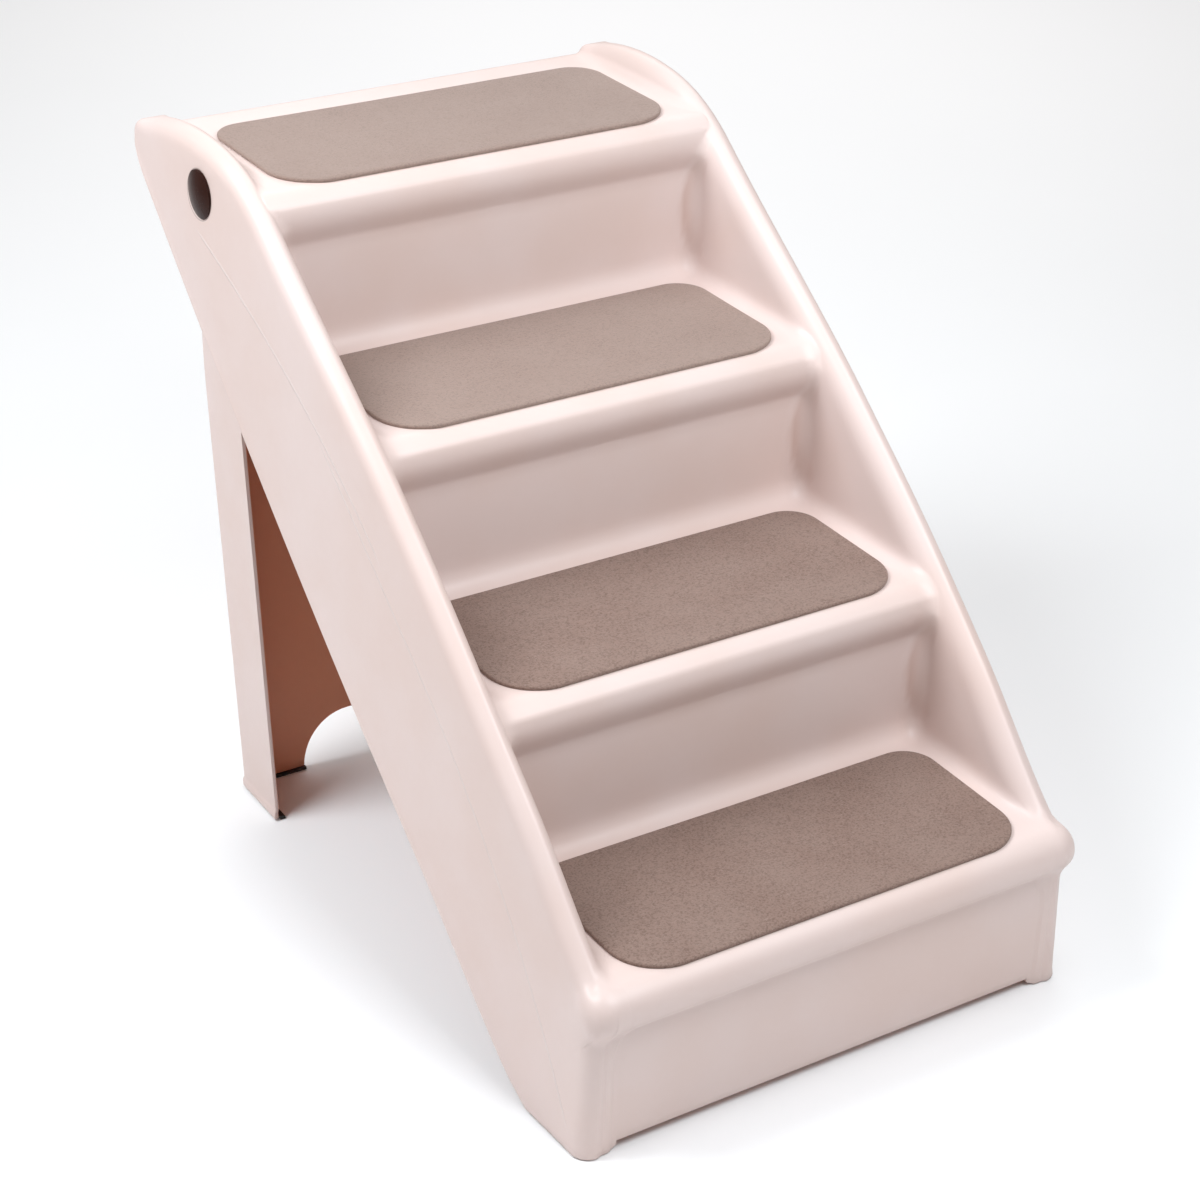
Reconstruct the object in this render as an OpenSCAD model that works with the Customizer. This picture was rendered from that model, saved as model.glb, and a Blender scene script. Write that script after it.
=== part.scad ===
// Folding pet stairs: a moulded four-step shell with felt treads, carried
// at the rear by a channel-shaped leg that folds up under the steps.
// The front is toward -Y, the stairs rise toward +Y and +Z is up.
// The origin is on the floor, under the middle of the whole part.

/* [Steps] */
// Clear width of the treads, between the two cheeks
tread_w = 342; // [300:1:400]
// Distance from one nosing to the next
run = 155; // [145:1:170]
// Height from one tread to the next
rise = 124; // [114:1:132]
// Height of the first tread above the floor
first_rise = 130.5; // [124:0.5:140]
// Radius of the round nosing
nosing_r = 17; // [14:0.5:19]
// How far a nosing stands ahead of the riser under it
nosing_overhang = 10; // [7:0.5:12]
// Radius of the hollow between a tread and the riser behind it
cove_r = 18; // [10:0.5:18]
// Depth of the top platform, from its nosing to its rear edge
platform_d = 171; // [160:1:185]
// Height of the lip that hangs from the platform's rear edge
rear_lip = 18; // [10:1:24]
// Thickness of the moulded shell
wall = 3; // [2.4:0.1:3.6]

/* [Side rails] */
// Width of a rail across its crest
rail_w = 22; // [20:0.5:30]
// How far the crest stands above the line over the nosings
rail_proud = 3; // [1:0.5:5]
// Radius of the crest's inner shoulder, above the cheek
rail_inner_r = 9; // [6:0.5:9]
// Radius of the crest's outer shoulder
rail_outer_r = 12; // [8:0.5:13]
// Angle at which the side walls spread toward their lower rim
side_draft = 3.6; // [2:0.1:4]
// Depth of a side wall, from its crest to the middle of its rim
side_depth = 143.5; // [138:0.5:148]
// Radius of the slight bow in the rim
rim_bow_r = 4950; // [4500:50:6000]
// Distance up the slope from the first nosing to where the rim is deepest
rim_deepest = 235; // [200:1:260]
// Distance from the first nosing's front to the back of each front foot
foot_l = 50; // [46:1:56]
// Slope of the bevel behind each front foot
foot_bevel = 26; // [18:1:32]
// Radius of the crest where it turns over the platform
crest_r = 205; // [195:1:250]
// Height of the crest above the platform
crest_rise = 19; // [14:0.5:22]
// How far the rails reach behind the platform
rail_reach = 12; // [6:0.5:16]
// Radius of a rail's upper rear corner
rail_corner_r = 9; // [4:0.5:10]

/* [Front] */
// Radius of the two front corner posts
post_r = 13; // [11:0.5:15]
// How far the front panel lies behind the posts
panel_recess = 4; // [2:0.5:5]
// Radius of the panel's upper corners
panel_corner_r = 26; // [15:1:35]
// Height of the front panel's lower edge above the floor
panel_gap = 7; // [5:0.5:12]
// How far the nosing's ends stand outside the top of the side walls
ear_proud = 10; // [8:0.5:12]

/* [Ribs] */
// Thickness of the ribs under the treads
rib_t = 2.5; // [1.8:0.1:3]
// Height of the ribs under the shell's skin
rib_h = 14; // [8:1:18]
// Depth below the rail crest at which the ribs stop, clear of the folded leg
rib_depth = 86; // [76:1:88]

/* [Tread mats] */
// Distance from a cheek to the side of its mat
mat_margin = 10; // [8:0.5:24]
// Distance from a mat's rear edge to the start of the hollow behind it
mat_clear = 0.5; // [0.5:0.5:14]
// Thickness of a felt mat
mat_t = 3; // [2:0.1:4]
// Distance from a nosing's front to its mat
mat_setback = 12.5; // [9:0.5:12.5]
// Radius of a mat's front corners
mat_front_r = 36; // [20:1:40]
// Radius of a mat's rear corners
mat_rear_r = 24; // [15:1:30]

/* [Support leg] */
// Distance of the hinge behind the platform's nosing
hinge_setback = 76.5; // [72:0.5:80]
// Distance of the hinge below the platform
hinge_drop = 18; // [16:0.5:20]
// Angle of the leg from upright, its foot forward
leg_lean = 6.5; // [5:0.1:7]
// Angle through which the leg folds
leg_fold = 42; // [40:0.5:42]
// Thickness of the leg
leg_t = 3; // [2.4:0.1:3.4]
// Distance from the hinge to the leg's rear face
leg_back = 38; // [37:0.5:40]
// Depth of the leg's side flanges at the foot
flange_foot_d = 56; // [50:0.5:58]
// Depth of the flanges level with the hinge
flange_top_d = 63; // [60:0.5:64]
// Radius of the flanges around the hinge
flange_lobe_r = 21.5; // [18:0.5:21.5]
// Outer radius of the leg's rear corners
leg_corner_r = 8; // [5:0.5:10]
// Distance from the hinge down to the top of the rear panel
leg_panel_drop = 34; // [30:1:60]
// Width of each foot of the leg
leg_foot_w = 48.5; // [40:0.5:60]
// Height of the arch between the leg's feet
leg_arch_h = 42; // [30:1:60]
// Radius of the arch's corners
leg_arch_r = 40; // [20:1:40]
// How far the foot's lip stands out
foot_lip = 1.5; // [1:0.1:1.8]
// Height of the foot's lip
foot_lip_h = 8; // [5:0.5:12]

/* [Hinge] */
// Diameter of the hinge bolt's shank
bolt_d = 10; // [8:0.5:10]
// Diameter of the bolt's head
bolt_head_d = 17; // [15:0.5:20]
// Height of the bolt's head
bolt_head_h = 2.6; // [2:0.1:2.8]
// Diameter of the domed cap
cap_d = 36; // [30:1:38]
// Height of the domed cap
cap_h = 5; // [4.6:0.1:5.5]
// Outer diameter of the washers
washer_d = 24; // [20:1:28]
// Thickness of a washer
washer_t = 1; // [0.8:0.1:1.2]
// Width of the nut across its flats
nut_w = 17; // [15:0.5:19]
// Height of the nut
nut_h = 5; // [4:0.5:5]
// Gap between the leg and the inside of a side wall at the hinge
leg_gap = 1.4; // [1.3:0.1:2]
// Radial clearance between the bolt and what turns on it
bolt_fit = 0.06; // [0.03:0.01:0.1]

/* [Foot pads] */
// Height of the rubber strips under the leg
strip_h = 2; // [1.5:0.1:2.5]
// Height of the rubber blocks in the front feet
block_h = 8; // [6:0.5:10]
// Length of a rubber block
block_l = 20; // [14:1:22]
// How far a block stands below the shell
block_proud = 1; // [0.5:0.1:1.5]

/* [Hidden] */
$fn = 96;
step_count = 4;
shell_color = [0.90, 0.83, 0.82];
felt_color = [0.62, 0.53, 0.49];
cap_color = [0.16, 0.10, 0.09];
steel_color = [0.70, 0.71, 0.72];
rubber_color = [0.14, 0.12, 0.11];
over = 1;          // overrun of cuts and of pieces that fuse
seat_gap = 0.3;    // clearance between pieces that do not turn
skin_step = 0.3;   // extra skin in the ears and posts, so that no two hollows are tangent
play = 0.05;       // end play of each washer
far = 2 * (step_count * run + platform_d);   // longer than the whole part

// Side view: [y, z] with y measured back from the front of the first nosing
pitch = atan(rise / run);
along = [cos(pitch), sin(pitch)];
normal = [-sin(pitch), cos(pitch)];
function tread_z(k) = first_rise + (k - 1) * rise;
function nose(k) = [(k - 1) * run + nosing_r, tread_z(k) - nosing_r];
function riser_y(k) = (k - 1) * run + nosing_overhang + (k == 1 ? panel_recess : 0);
function dot(a, b) = a[0] * b[0] + a[1] * b[1];
platform_z = tread_z(step_count);
platform_rear = (step_count - 1) * run + platform_d;
rail_rear = platform_rear + rail_reach;
crest_off = nosing_r + rail_proud;    // from a nosing's centre to the crest line
crest_z = platform_z + crest_rise;
arc_z = crest_z - crest_r;
arc_y = nose(1)[0] + (cos(pitch) * (arc_z - nose(1)[1]) + crest_r - crest_off) / sin(pitch);
crest_arc = 80;
crest_start = [arc_y, arc_z] + crest_r * normal;
crest_l = dot(along, crest_start - nose(1)) + first_rise;

// Mats
mat_w = tread_w - 2 * mat_margin;
mat_d = run + nosing_overhang - cove_r - mat_setback - mat_clear;

// Side walls
cheek_x = tread_w / 2;
shoulder_x = cheek_x + rail_w;
function wall_x(p) = shoulder_x - rail_outer_r + rail_outer_r / cos(side_draft)
    + tan(side_draft) * (crest_off - rail_outer_r - dot(normal, p - nose(1)));
rim_o = nose(1) + along * rim_deepest + normal * (crest_off - side_depth + rim_bow_r);
skirt_l = side_depth + 1.5 * rail_w;   // reach of the swept profiles, past the rim

// Hinge
hinge = [(step_count - 1) * run + hinge_setback, platform_z - hinge_drop];
seat_x = wall_x(hinge) - cap_h / 4;          // flat seat of the cap and the bolt's head
leg_x = seat_x - wall - washer_t - 2 * play - leg_gap;   // outer faces of the leg
hinge_face_x = leg_x + washer_t + 2 * play;
leg_l = hinge[1] / cos(leg_lean) + leg_back;
flange_slope = (flange_top_d - flange_foot_d) / leg_l;
nut_x = leg_x - leg_t - washer_t - 2 * play - nut_h;
bolt_end_x = nut_x - washer_t;
dome_r = (cap_d * cap_d / 4 + cap_h * cap_h) / (2 * cap_h);
front_y = -rail_rear / 2;
boss_wall = 9;  // thickness of the ring round the bolt
boss_r = bolt_d / 2 + boss_wall;
stop_t = 6;     // thickness of the lug behind the leg
stop_l = 18;    // length of that lug

// Rubber blocks in the front feet
block_w = rail_w / 2;
block_y = nosing_overhang + post_r + wall + seat_gap;
block_x = wall_x([block_y, block_h]) - wall - seat_gap;

module place() translate([0, front_y, 0]) children();
module both_sides() { children(); mirror([1, 0, 0]) children(); }
module side(s) { if (s < 0) mirror([1, 0, 0]) children(); else children(); }

// Carries a side-view shape across, from x0 to x1
module across(x0, x1) translate([x0, 0, 0]) rotate([90, 0, 90]) linear_extrude(x1 - x0) children();

// Section under the treads, drawn in by g
module steps2d(g, low) {
    for (k = [1:step_count]) {
        translate([nose(k)[0], low]) square([platform_rear - g - nose(k)[0], tread_z(k) - g - low]);
        translate([riser_y(k) + g, low]) square([nosing_r, nose(k)[1] - low]);
        translate(nose(k)) circle(nosing_r - g);
    }
    for (k = [1:step_count - 1]) difference() {
        translate([riser_y(k + 1) - cove_r, tread_z(k) - g]) square([cove_r + g, cove_r + g]);
        translate([riser_y(k + 1) - cove_r, tread_z(k) + cove_r]) circle(cove_r + g);
    }
}

// Sweeps a profile down the straight crest and over its rear curve; the
// profile's y is the height above the crest line
module crest_sweep() translate([cheek_x, crest_start[0], crest_start[1]]) rotate([90 + pitch, 0, 0]) {
    linear_extrude(crest_l) children();
    translate([0, -crest_r, 0]) rotate([90, 0, 90]) mirror([0, 1, 0])
        rotate_extrude(angle = crest_arc) translate([crest_r, 0]) mirror([1, -1]) children();
}

// Section of a rail, drawn in by g: upright cheek, rounded crest, drafted wall
module rail2d(g) {
    wall_c = [rail_w - rail_outer_r, -rail_outer_r];
    wall_top = wall_c + (rail_outer_r - g) * [cos(side_draft), sin(side_draft)];
    translate([rail_inner_r, -rail_inner_r]) circle(rail_inner_r - g);
    translate(wall_c) circle(rail_outer_r - g);
    polygon([[g, -skirt_l], [g, -rail_inner_r], [rail_inner_r, -g], [wall_c[0], -g], wall_top,
        wall_top + skirt_l * [sin(side_draft), -cos(side_draft)]]);
}
module rail_solid(g) crest_sweep() rail2d(g);

// Side outline of a rail, drawn in by g, without its crest
module rail_outline2d(g) difference() {
    union() {
        translate([nose(1)[0], nose(1)[1] + rail_proud / cos(pitch)]) circle(nosing_r - g);
        translate([nose(1)[0], nose(1)[1]]) square([rail_rear - g - nose(1)[0], far]);
        translate([nosing_overhang + post_r, -over]) square([rail_rear - g - nosing_overhang - post_r, far]);
    }
    rear_corner2d(g);
}
module rear_corner2d(g) {
    c = [rail_rear - rail_corner_r,
        arc_z + sqrt(pow(crest_r - rail_corner_r, 2) - pow(rail_rear - rail_corner_r - arc_y, 2))];
    difference() {
        translate(c) square(rail_w);
        translate(c) circle(rail_corner_r - g);
    }
}

// Everything above the rim and the floor
module rim2d() intersection() {
    translate(rim_o) circle(rim_bow_r, $fn = 720);
    translate([-over, block_proud]) square([far, far]);
    translate([foot_l, block_proud]) rotate(foot_bevel) translate([-far, 0]) square([2 * far, far]);
}

// A front corner post, parallel to the drafted side wall
module post_solid(g) {
    base = [nosing_overhang + post_r, 0];
    lean = atan(tan(side_draft) * cos(pitch));
    translate([wall_x(base) - post_r / cos(side_draft), base[0], 0]) rotate([0, -lean, 0])
        translate([0, 0, -over]) cylinder(h = nose(1)[1] / cos(lean) + over, r = post_r - g);
}

// The first nosing runs round both ends as an ear
module nosing_roll(g) {
    reach = shoulder_x + ear_proud - nosing_r;
    translate([-reach, nose(1)[0], nose(1)[1]]) rotate([0, 90, 0]) cylinder(h = 2 * reach, r = nosing_r - g);
    both_sides() translate([reach, nose(1)[0], nose(1)[1]]) sphere(nosing_r - g);
}

module front_panel() {
    y = riser_y(1);
    post_x = wall_x([nosing_overhang + post_r, nose(1)[1]]) - post_r;
    translate([-post_x, y, panel_gap]) cube([2 * post_x, wall, nose(1)[1] - panel_gap]);
    // Rounded upper corners of the recessed panel
    both_sides() translate([post_x - post_r + panel_recess, y + over, nose(1)[1] - nosing_r + panel_recess])
        rotate([90, 0, 0]) linear_extrude(panel_recess / 2 + over) difference() {
            translate([-panel_corner_r, -panel_corner_r]) square(panel_corner_r + panel_recess);
            translate([-panel_corner_r, -panel_corner_r]) circle(panel_corner_r);
        }
}

module outer_form() {
    difference() {
        across(-cheek_x - over, cheek_x + over) steps2d(0, panel_gap);
        translate([-far / 2, riser_y(1) + wall, -over]) cube([far, far, panel_gap + 2 * over]);
    }
    both_sides() intersection() {
        rail_solid(0);
        across(cheek_x - over, shoulder_x + rail_w) intersection() { rail_outline2d(0); rim2d(); }
    }
    both_sides() intersection() {
        post_solid(0);
        translate([0, 0, block_proud]) cube(far);
    }
    nosing_roll(0);
    front_panel();
}

module hollow_form() {
    across(-cheek_x - wall - over, cheek_x + wall + over) steps2d(wall, -over);
    both_sides() intersection() {
        rail_solid(wall);
        across(cheek_x, shoulder_x + rail_w) rail_outline2d(wall);
    }
    both_sides() post_solid(wall + skin_step);
    nosing_roll(wall + skin_step);
    // Open rear, below the lip
    translate([-cheek_x - wall - over, platform_rear - 2 * wall, -over])
        cube([2 * (cheek_x + wall + over), rail_reach + 2 * wall + over, platform_z - rear_lip + over]);
}

// Ribs under each tread, short of the folded leg
module tread_ribs() for (i = [-1:1]) across(i * tread_w / 4 - rib_t / 2, i * tread_w / 4 + rib_t / 2)
    intersection() {
        for (k = [1:step_count]) translate([riser_y(k) + wall / 2, tread_z(k) - wall - rib_h])
            square([run - wall, rib_h + wall / 2]);
        translate(nose(1) + normal * (crest_off - rib_depth) - along * run) rotate(pitch) square([2 * far, far]);
    }

// Thick ring round the bolt, and the lug that the open leg rests against
module hinge_boss() across(hinge_face_x, seat_x) translate(hinge) circle(boss_r);
module leg_stop() intersection() {
    across(leg_x - leg_corner_r - leg_t, shoulder_x + ear_proud) translate(hinge) rotate(-leg_lean)
        translate([leg_back + seat_gap, -leg_panel_drop - stop_l]) square([stop_t, stop_l]);
    rail_solid(wall / 2);
}

// Small floor inside each front foot, which the rubber block is fixed to
module foot_floor() translate([block_x - block_w, block_y, block_h - block_proud])
    cube([block_w + wall, block_l, wall]);

module stair_shell() color(shell_color) place() difference() {
    union() {
        difference() {
            outer_form();
            hollow_form();
        }
        tread_ribs();
        both_sides() { hinge_boss(); leg_stop(); foot_floor(); }
    }
    both_sides() {
        across(seat_x, seat_x + rail_w) translate(hinge) circle(cap_d / 2 + seat_gap);
        across(nut_x, seat_x + over) translate(hinge) circle(bolt_d / 2 + bolt_fit);
    }
}

module tread_mat(k) color(felt_color) place() translate([0, (k - 1) * run + mat_setback, tread_z(k)])
    linear_extrude(mat_t) mat2d();
module mat2d() {
    x = mat_w / 2;
    for (s = [-1, 1]) {
        translate([s * (x - mat_front_r), mat_front_r]) circle(mat_front_r);
        translate([s * (x - mat_rear_r), mat_d - mat_rear_r]) circle(mat_rear_r);
    }
    translate([-x, mat_front_r]) square([mat_w, mat_d - mat_front_r - mat_rear_r]);
    translate([mat_front_r - x, 0]) square([mat_w - 2 * mat_front_r, mat_d]);
    translate([mat_rear_r - x, mat_front_r]) square([mat_w - 2 * mat_rear_r, mat_d - mat_front_r]);
}

// Leg, drawn upright with its hinge at the origin, then leaned forward
module leg_frame() place() translate([0, hinge[0], hinge[1]]) rotate([-leg_lean, 0, 0]) children();
module leg_plan(out, front) {
    x = leg_x - leg_corner_r;
    y = leg_back - leg_corner_r;
    r = leg_corner_r + out;
    for (s = [-1, 1]) translate([s * x, y]) circle(r);
    translate([-x, front]) square([2 * x, y + r - front]);
    translate([-x - r, front]) square([2 * (x + r), y - front]);
}
// Side view of a flange, around the hinge and down to the foot
module flange2d(out) {
    q = [leg_back + out, -leg_panel_drop];
    a = atan2(q[1], q[0]) + acos((flange_lobe_r + out) / norm(q));
    front_top = leg_back - flange_top_d - out;
    circle(flange_lobe_r + out);
    polygon([[0, 0], (flange_lobe_r + out) * [cos(a), sin(a)], q, [q[0], -leg_l - over],
        [front_top + flange_slope * leg_l, -leg_l - over], [-flange_lobe_r - out, 0]]);
}
module leg_channel(out, t) intersection() {
    difference() {
        translate([0, 0, -leg_l - over]) linear_extrude(leg_l + 2 * flange_lobe_r)
            leg_plan(out, -flange_top_d);
        translate([0, 0, -leg_l - 2 * over]) linear_extrude(leg_l + 3 * flange_lobe_r)
            leg_plan(-t, -flange_top_d - over);
    }
    across(-leg_x - 2 * out, leg_x + 2 * out) flange2d(out);
}
// Everything between two heights above the floor
module floor_slab(z0, z1) translate([-far / 2, -far / 2, z0]) cube([far, far, z1 - z0]);

module leg_arch() place() translate([0, 0, -over]) rotate([90, 0, 0]) translate([0, 0, -far]) linear_extrude(far) {
    x = leg_x - leg_foot_w;
    for (s = [-1, 1]) translate([s * (x - leg_arch_r), leg_arch_h + over - leg_arch_r]) circle(leg_arch_r);
    translate([leg_arch_r - x, 0]) square([2 * (x - leg_arch_r), leg_arch_h + over]);
    translate([-x, 0]) square([2 * x, leg_arch_h + over - leg_arch_r]);
}

module support_leg() color(shell_color) difference() {
    union() {
        intersection() {
            leg_frame() difference() {
                leg_channel(0, leg_t);
                // The rear panel starts below the hinge
                translate([-leg_x + leg_corner_r, leg_back - leg_corner_r, -leg_panel_drop])
                    cube([2 * (leg_x - leg_corner_r), 2 * leg_corner_r, leg_panel_drop + 2 * flange_lobe_r]);
            }
            floor_slab(strip_h, far);
        }
        intersection() {
            leg_frame() leg_channel(foot_lip, leg_t);
            floor_slab(strip_h, foot_lip_h);
        }
    }
    leg_arch();
    place() across(-far / 2, far / 2) translate(hinge) circle(bolt_d / 2 + bolt_fit);
}

module hinge_bolt(s) color(steel_color) place() side(s) {
    across(seat_x, seat_x + bolt_head_h) translate(hinge) circle(bolt_head_d / 2);
    across(bolt_end_x, seat_x + over) translate(hinge) circle(bolt_d / 2);
}
module hinge_cap(s) color(cap_color) place() side(s) translate([seat_x, hinge[0], hinge[1]])
    rotate([0, 90, 0]) rotate_extrude() difference() {
        intersection() {
            translate([0, cap_h - dome_r]) circle(dome_r, $fn = 400);
            square([cap_d / 2, cap_h]);
        }
        translate([0, -over]) square([bolt_head_d / 2 + seat_gap, bolt_head_h + seat_gap + over]);
    }
module washer(x) across(x, x + washer_t) translate(hinge) difference() {
    circle(washer_d / 2);
    circle(bolt_d / 2 + bolt_fit);
}
module hinge_washer_outer(s) color(steel_color) place() side(s) washer(leg_x + play);
module hinge_washer_inner(s) color(steel_color) place() side(s) washer(leg_x - leg_t - play - washer_t);
module hinge_nut(s) color(steel_color) place() side(s) across(nut_x, nut_x + nut_h) translate(hinge) difference() {
    circle(nut_w / 2 / cos(30), $fn = 6);
    circle(bolt_d / 2 + bolt_fit);
}

// Rubber block in a front foot, under the foot's small floor
module front_foot_pad(s) color(rubber_color) place() side(s)
    translate([block_x - block_w, block_y, 0]) cube([block_w, block_l, block_h - block_proud]);
// Rubber strip under a foot of the leg, bent round its corner
module leg_foot_pad(s) color(rubber_color) side(s) intersection() {
    difference() {
        leg_frame() leg_channel(foot_lip - seat_gap, leg_t);
        leg_arch();
    }
    floor_slab(0, strip_h);
    translate([0, -far / 2, 0]) cube(far);
}

stair_shell();
for (k = [1:step_count]) tread_mat(k);
support_leg();
hinge_bolt(-1);  // hinge_bolt_left
hinge_bolt(1);  // hinge_bolt_right
hinge_cap(-1);  // hinge_cap_left
hinge_cap(1);  // hinge_cap_right
hinge_washer_outer(-1);  // hinge_washer_outer_left
hinge_washer_outer(1);  // hinge_washer_outer_right
hinge_washer_inner(-1);  // hinge_washer_inner_left
hinge_washer_inner(1);  // hinge_washer_inner_right
hinge_nut(-1);  // hinge_nut_left
hinge_nut(1);  // hinge_nut_right
front_foot_pad(-1);  // front_foot_pad_left
front_foot_pad(1);  // front_foot_pad_right
leg_foot_pad(-1);  // leg_foot_pad_left
leg_foot_pad(1);  // leg_foot_pad_right
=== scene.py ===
import bpy
import bmesh
import numpy as np
from mathutils import Matrix


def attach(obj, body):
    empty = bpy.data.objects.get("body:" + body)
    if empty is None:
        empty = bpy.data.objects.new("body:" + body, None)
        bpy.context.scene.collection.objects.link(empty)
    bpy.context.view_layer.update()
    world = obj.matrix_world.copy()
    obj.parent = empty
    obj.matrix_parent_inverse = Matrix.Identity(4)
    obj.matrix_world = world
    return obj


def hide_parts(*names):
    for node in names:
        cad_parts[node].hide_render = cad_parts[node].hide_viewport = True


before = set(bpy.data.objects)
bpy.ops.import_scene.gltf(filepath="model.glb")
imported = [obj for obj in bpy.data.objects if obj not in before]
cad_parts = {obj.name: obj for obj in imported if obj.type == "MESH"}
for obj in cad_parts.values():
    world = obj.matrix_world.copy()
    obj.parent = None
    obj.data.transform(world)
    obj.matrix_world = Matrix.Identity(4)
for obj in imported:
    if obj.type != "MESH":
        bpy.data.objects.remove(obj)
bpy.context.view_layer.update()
print("scene: model loaded")

# Lengths are in mm, with y measured back from the front of the first nosing,
# until a mesh is made. Then they become metres and y moves by backShift.
backShift = -324.0


# corner of two distance fields, rounded to radius r: what lies inside both
def roundMax(a, b, r):
    return np.minimum(np.maximum(a, b), -r) + np.hypot(np.maximum(a + r, 0), np.maximum(b + r, 0))


# joint of two distance fields, filled to radius r: what lies inside either
def roundMin(a, b, r):
    return -roundMax(-a, -b, r)


# 0 below lo, 1 above hi, with no kink at either end
def ease(v, lo, hi):
    t = np.clip((v - lo) / (hi - lo), 0, 1)
    return t * t * (3 - 2 * t)


# arc about c with radius r, n + 1 points from angle a0 to a1 in degrees
def arc(c, r, a0, a1, n):
    a = np.radians(np.linspace(a0, a1, n + 1))
    return np.c_[c[0] + r * np.cos(a), c[1] + r * np.sin(a)]


# n + 1 points on a straight line, packed toward the ends by the share ends
def line(p, q, n, ends=0.0):
    t = np.linspace(0, 1, n + 1)
    t = t + ends * np.sin(2 * np.pi * t) / (-2 * np.pi)
    return np.array(p) + t[:, None] * (np.array(q) - np.array(p))


# joins paths end to end and leaves out the doubled points
def join(*paths):
    pts = np.vstack(paths)
    keep = np.r_[True, np.hypot(*(pts[1:] - pts[:-1]).T) > 1e-6]
    return pts[keep]


# how far along a path each of its points lies
def lengths(path):
    return np.r_[0, np.cumsum(np.hypot(*(path[1:] - path[:-1]).T))]


# point at distance s along a path
def along(path, s):
    run = lengths(path)
    return np.c_[np.interp(s, run, path[:, 0]), np.interp(s, run, path[:, 1])]


# quads between the rows and columns of a grid; a closed grid joins its last column to its first
def gridFaces(rows, cols, closed=False):
    i = np.arange(rows * cols).reshape(rows, cols)
    if closed:
        i = np.c_[i, i[:, :1]]
    return np.stack([i[:-1, :-1], i[:-1, 1:], i[1:, 1:], i[1:, :-1]], -1).reshape(-1, 4)


# makes a mesh object from points in mm; doubles are merged and faces turned outwards.
# marks are named values, one for each point, kept as attributes for the finish
def makePiece(name, points, faces, body, material, smooth=True, flip=None, marks=None):
    pts = np.array(points, float).reshape(-1, 3).copy()
    pts[:, 1] += backShift
    mesh = bpy.data.meshes.new(name)
    mesh.from_pydata((pts * 0.001).tolist(), [], faces if isinstance(faces, list) else faces.tolist())
    for key, values in (marks or {}).items():
        mesh.attributes.new(key, "FLOAT", "POINT").data.foreach_set("value", np.asarray(values, np.float32))
    obj = bpy.data.objects.new(name, mesh)
    bpy.context.scene.collection.objects.link(obj)
    bm = bmesh.new()
    bm.from_mesh(mesh)
    bmesh.ops.remove_doubles(bm, verts=bm.verts, dist=1e-6)
    bmesh.ops.dissolve_degenerate(bm, edges=bm.edges, dist=1e-7)
    if flip is None:
        bmesh.ops.recalc_face_normals(bm, faces=bm.faces)
    elif flip:
        bmesh.ops.reverse_faces(bm, faces=bm.faces)
    bm.to_mesh(mesh)
    bm.free()
    if smooth:
        mesh.shade_smooth()
    mesh.materials.append(material)
    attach(obj, body)
    return obj


# closes a skin into a wall. outer and inner are grids of the same rows and columns, the two faces of
# the wall; the borders are joined by a strip that bulges by edge, so that the rims are rounded.
# The mark Hidden is 0 on the outer face, 1 on the inner one, and rises at the end of the strip; the finish
# paints shade and a warm glow where it is high
def wallMesh(outer, inner, edge):
    rows, cols = outer.shape[:2]
    i = np.arange(rows * cols).reshape(rows, cols)
    loop = np.r_[i[0, :-1], i[:-1, -1], i[-1, :0:-1], i[:0:-1, 0]]
    o, n = outer.reshape(-1, 3), inner.reshape(-1, 3)
    inside = outer.copy()
    inside[0], inside[-1] = outer[1], outer[-2]
    inside[1:-1, 0], inside[1:-1, -1] = outer[1:-1, 1], outer[1:-1, -2]
    inside[0, -1], inside[-1, -1] = outer[1, -2], outer[-2, -2]
    inside[0, 0], inside[-1, 0] = outer[1, 1], outer[-2, 1]
    way = (outer - inside).reshape(-1, 3)[loop]
    across = (n - o)[loop]
    unit = across / np.maximum(np.linalg.norm(across, axis=1, keepdims=True), 1e-6)
    way = way - (way * unit).sum(1, keepdims=True) * unit
    way = way / np.maximum(np.linalg.norm(way, axis=1, keepdims=True), 1e-6)
    for _ in range(2):
        way = (np.roll(way, 1, 0) + 2 * way + np.roll(way, -1, 0)) / 4
    strip = [o[loop] + across * t + way * edge * np.sqrt(np.maximum(1 - (2 * t - 1) ** 4, 0))
             for t in (0.08, 0.3, 0.7, 0.92)]
    m, k = len(loop), rows * cols
    pts = np.vstack([o, n] + strip)
    faces = gridFaces(rows, cols)
    rings = [loop] + [2 * k + j * m + np.arange(m) for j in range(4)] + [loop + k]
    parts = [faces, faces[:, ::-1] + k]
    for a, b in zip(rings[:-1], rings[1:]):
        parts.append(np.stack([a, b, np.roll(b, -1), np.roll(a, -1)], 1))
    hidden = np.r_[np.zeros(k), np.ones(k), np.repeat([0.0, 0.0, 0.0, 0.6], m)]
    return pts, np.vstack(parts), {"Hidden": hidden}


# a whole grid from its right half, whose first column lies on x = 0
def mirror(g):
    return np.concatenate([g[:, :0:-1] * np.array([-1, 1, 1]), g], 1)


# volume that a mesh of quads encloses, negative where its faces point inwards
def volume(pts, faces):
    a, b, c, d = (pts[faces[:, i]] for i in range(4))
    return ((np.cross(a, b) * c).sum() + (np.cross(a, c) * d).sum()) / 6


def addBevel(obj, width, segments=2, angle=50):
    mod = obj.modifiers.new("edges", "BEVEL")
    mod.width = width * 0.001
    mod.segments = segments
    mod.limit_method = "ANGLE"
    mod.angle_limit = np.radians(angle)
    mod.use_clamp_overlap = True
    mod.harden_normals = True


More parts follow.
